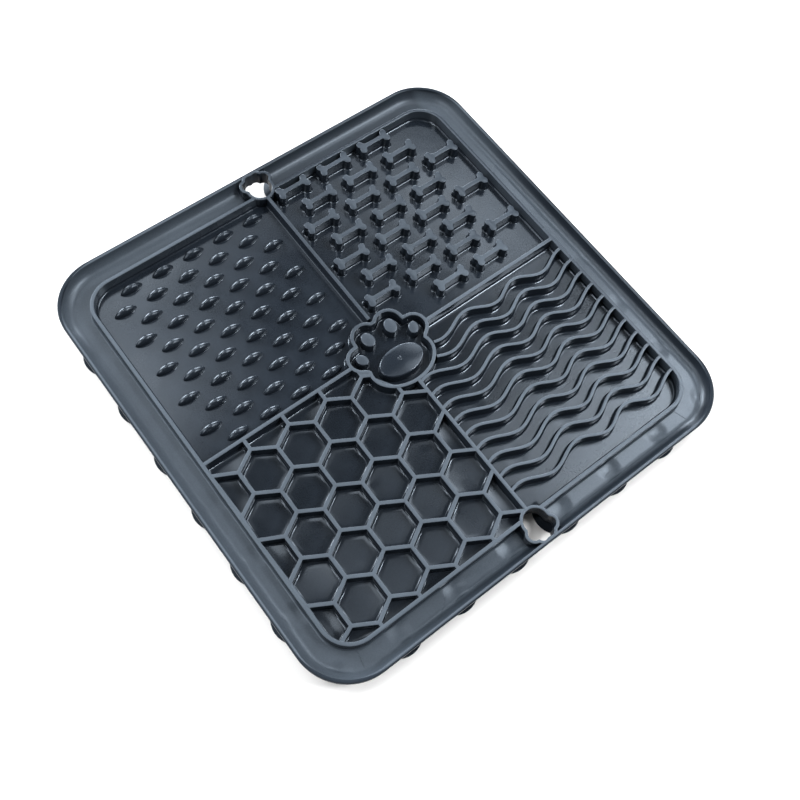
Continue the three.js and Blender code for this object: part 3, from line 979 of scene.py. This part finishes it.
class OBJECT_OT_mould_marks(MatOperator, bpy.types.Operator):
    """Marks that the mould left: joint lines in the channel and a gate mark on the big pad"""
    bl_idname = "lick_mat.mould_marks"
    bl_label = "Mould marks"

    def execute(self, context):
        self.prepare(context)
        s = self.sizes
        bm = bmesh.new()
        for (x0, y0), (x1, y1) in JOINT_LINES:
            length, turn = math.hypot(x1 - x0, y1 - y0), math.atan2(y1 - y0, x1 - x0)
            middle = ((x0 + x1) / 2 * MM, (y0 + y1) / 2 * MM, s.floor_z)
            place = Matrix.Translation(middle) @ Matrix.Rotation(turn, 4, "Z")
            size = Matrix.Diagonal((length * MM, JOINT_WIDTH * MM, JOINT_WIDTH * MM, 1))
            bmesh.ops.create_cube(bm, size=1.0, matrix=place @ size)
        bmesh.ops.bevel(bm, geom=bm.edges[:], offset=JOINT_BEVEL * MM, segments=1, affect="EDGES",
                        profile=0.5, material=-1)
        piece_from(bm, "joint_lines", self.silicone)
        bm = bmesh.new()
        turned(bm, GATE_PROFILE, 24)
        x, y = GATE_MARK
        bmesh.ops.translate(bm, vec=(x * MM, y * MM, s.top_z - GATE_DROP * MM), verts=bm.verts)
        piece_from(bm, "gate_mark", self.silicone)
        return {"FINISHED"}


class OBJECT_OT_suction_cups(MatOperator, bpy.types.Operator):
    """Suction cups on the underside"""
    bl_idname = "lick_mat.suction_cups"
    bl_label = "Suction cups"

    def execute(self, context):
        self.prepare(context)
        s = self.sizes
        rim = s.cup_radius / MM
        under = (s.floor_z - s.sheet) / MM
        # From the middle of the hollow, round the rim, up the skirt and the neck and into the sheet.
        line = [(0.0, 2.6), (1.6, 2.55), (3.2, 2.2), (5.0, 1.5), (6.8, 0.75), (8.2, 0.2), (8.8, 0.0),
                (rim - 0.25, 0.0), (rim, 0.12), (rim, 0.4), (rim - 0.3, 0.62), (8.0, 1.35), (6.4, 2.15),
                (5.0, 3.0), (4.4, 3.5), (4.3, 3.9), (4.7, under + 0.05)]
        bm = bmesh.new()
        turned(bm, line, 36)
        bmesh.ops.remove_doubles(bm, verts=bm.verts, dist=MERGE)
        last = CUPS_A_SIDE - 1
        places = []
        for i in range(CUPS_A_SIDE):
            for j in range(CUPS_A_SIDE):
                if i not in (0, last) or j not in (0, last):
                    places.append(((i - last / 2) * s.cup_pitch, (j - last / 2) * s.cup_pitch, 0))
        stamp("suction_cups", self.silicone, bm, places)
        return {"FINISHED"}


# Stage: the camera stands where the photograph was taken from.
CAMERA_PLACE_MM = (-124.55, -122.57, 351.46)
CAMERA_TURN_DEG = (23.528, -4.714, -37.627)
CAMERA_LENS = 43.06
TABLE_HALF = 1.6
DAYLIGHT = (0.86, 1.0, 1.16)
STUDIO_GLOW = 0.12
# Lamps: (name, azimuth, elevation, distance, size, watts), in degrees and metres.
LIGHTS = (
    ("back_box_left", 105.0, 20.0, 3.0, 1.6, 165.0),
    ("back_box_right", 52.0, 15.0, 3.0, 1.5, 115.0),
    ("left_box", 150.0, 33.0, 1.0, 0.42, 1.7),
    ("left_box_2", 180.0, 33.0, 1.0, 0.42, 3.0),
    ("side_box", 330.0, 33.0, 1.0, 0.42, 3.0),
    ("window", 0.0, 50.0, 1.0, 0.23, 1.9),
    ("window_2", 27.0, 52.5, 1.0, 0.16, 0.22),
    ("window_3", 38.0, 51.0, 1.0, 0.16, 0.28),
    ("window_4", 50.0, 49.5, 1.0, 0.18, 0.2),
    ("window_high", 346.0, 62.0, 1.0, 0.23, 0.9),
    ("window_high_2", 0.0, 62.0, 1.0, 0.23, 0.4),
    ("window_high_3", 9.0, 59.0, 1.0, 0.18, 0.3),
    ("window_high_4", 13.0, 66.5, 1.0, 0.16, 0.25),
    ("left_high", 145.0, 67.0, 1.0, 0.2, 1.8),
    ("right_high", 308.0, 51.0, 1.0, 0.16, 3.5),
    ("right_high_2", 320.0, 49.0, 1.0, 0.16, 3.0),
    ("ceiling", 25.0, 78.0, 1.0, 0.2, 0.12),
    ("far_wall", 70.0, 50.0, 1.0, 0.23, 0.2),
    ("far_wall_2", 84.0, 50.0, 1.0, 0.23, 0.6),
    ("far_wall_3", 84.0, 62.0, 1.0, 0.23, 0.2),
    ("far_wall_4", 98.0, 62.0, 1.0, 0.23, 0.4),
    ("overhead", 120.0, 85.0, 1.0, 0.2, 0.4),
)


class OBJECT_OT_stage(MatOperator, bpy.types.Operator):
    """Table, lights and camera"""
    bl_idname = "lick_mat.stage"
    bl_label = "Stage"

    def execute(self, context):
        self.prepare(context)
        scene = context.scene
        bm = bmesh.new()
        bmesh.ops.create_grid(bm, x_segments=8, y_segments=8, size=TABLE_HALF)
        mesh = bpy.data.meshes.new("table")
        bm.to_mesh(mesh)
        bm.free()
        mesh.materials.append(table_material(self.look))
        table = bpy.data.objects.new("table", mesh)
        scene.collection.objects.link(table)
        for name, azimuth, elevation, distance, size, watts in LIGHTS:
            lamp = bpy.data.lights.new(name, "AREA")
            lamp.shape = "DISK"
            lamp.size = size
            lamp.energy = watts
            lamp.color = DAYLIGHT
            a, e = math.radians(azimuth), math.radians(elevation)
            out = Vector((math.cos(a) * math.cos(e), math.sin(a) * math.cos(e), math.sin(e)))
            holder = bpy.data.objects.new(name, lamp)
            holder.location = out * distance
            holder.rotation_euler = out.to_track_quat("Z", "Y").to_euler()
            scene.collection.objects.link(holder)
        world = bpy.data.worlds.new("studio")
        world.use_nodes = True
        glow = world.node_tree.nodes["Background"].inputs
        glow["Color"].default_value = (*DAYLIGHT, 1)
        glow["Strength"].default_value = STUDIO_GLOW
        scene.world = world
        scene.view_settings.view_transform = "Standard"
        camera = bpy.data.cameras.new("camera")
        camera.lens = CAMERA_LENS
        camera.sensor_width = 36
        camera.clip_start = 0.01
        holder = bpy.data.objects.new("camera", camera)
        holder.location = Vector(CAMERA_PLACE_MM) * MM
        holder.rotation_euler = Euler([math.radians(v) for v in CAMERA_TURN_DEG])
        scene.collection.objects.link(holder)
        scene.camera = holder
        return {"FINISHED"}


OPERATORS = (
    OBJECT_OT_tray, OBJECT_OT_walls, OBJECT_OT_studs, OBJECT_OT_bones, OBJECT_OT_waves,
    OBJECT_OT_honeycomb, OBJECT_OT_paw, OBJECT_OT_hang_holes, OBJECT_OT_mould_marks,
    OBJECT_OT_suction_cups, OBJECT_OT_stage,
)


class VIEW3D_PT_lick_mat(bpy.types.Panel):
    """Sidebar panel that lists the sizes, the look and the steps"""
    bl_idname = "VIEW3D_PT_lick_mat"
    bl_label = "Lick Mat"
    bl_space_type = "VIEW_3D"
    bl_region_type = "UI"
    bl_category = "Lick Mat"

    def draw(self, context):
        for group in (context.scene.mat_sizes, context.scene.mat_look):
            for key in group.__annotations__:
                self.layout.prop(group, key)
        for operator in OPERATORS:
            self.layout.operator(operator.bl_idname)


CLASSES = (MatSizes, MatLook, *OPERATORS, VIEW3D_PT_lick_mat)


def register():
    """Makes the sizes, the look, the steps and the panel known to Blender."""
    for cls in CLASSES:
        bpy.utils.register_class(cls)
    bpy.types.Scene.mat_sizes = bpy.props.PointerProperty(type=MatSizes)
    bpy.types.Scene.mat_look = bpy.props.PointerProperty(type=MatLook)


def unregister():
    """Takes them away again."""
    del bpy.types.Scene.mat_look
    del bpy.types.Scene.mat_sizes
    for cls in reversed(CLASSES):
        bpy.utils.unregister_class(cls)


def main():
    """Builds every piece and the stage."""
    register()
    for operator in OPERATORS:
        family, name = operator.bl_idname.split(".")
        getattr(getattr(bpy.ops, family), name)()


if __name__ == "__main__":
    main()
